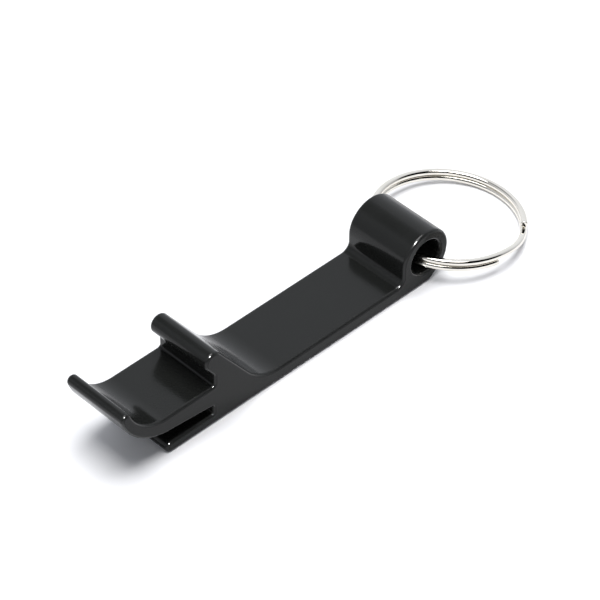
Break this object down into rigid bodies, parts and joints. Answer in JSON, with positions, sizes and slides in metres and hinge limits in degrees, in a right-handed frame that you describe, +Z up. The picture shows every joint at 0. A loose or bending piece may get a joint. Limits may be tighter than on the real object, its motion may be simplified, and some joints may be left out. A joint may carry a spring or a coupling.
{
  "type": "keychain bottle opener",
  "caption": "Extruded aluminium claw-style bottle opener with a can-tab slot and a barrel end that carries a two-turn split key ring.",
  "frame": {"origin": "on the body's flat underside, at the middle of its length and width", "axes": "+X along the body from the cap jaw to the barrel, +Z up out of the cap jaw, Y across the body along the bore"},
  "size_m": [0.0839, 0.0244, 0.0135],
  "materials": {
    "black_anodised": "gloss black anodised, rims softened by tumbling",
    "nickel_plate": "bright nickel-plated spring steel"
  },
  "bodies": {
    "opener": {"opener_body": "black_anodised"},
    "ring": {"split_ring": "nickel_plate"}
  },
  "joints": [
    {"name": "ring_swing", "type": "hinge", "parent": "opener", "child": "ring", "pos_m": [0.028, 0, 0.0051], "axis": [0, -1, 0], "range_deg": [-150, 192]}
  ]
}
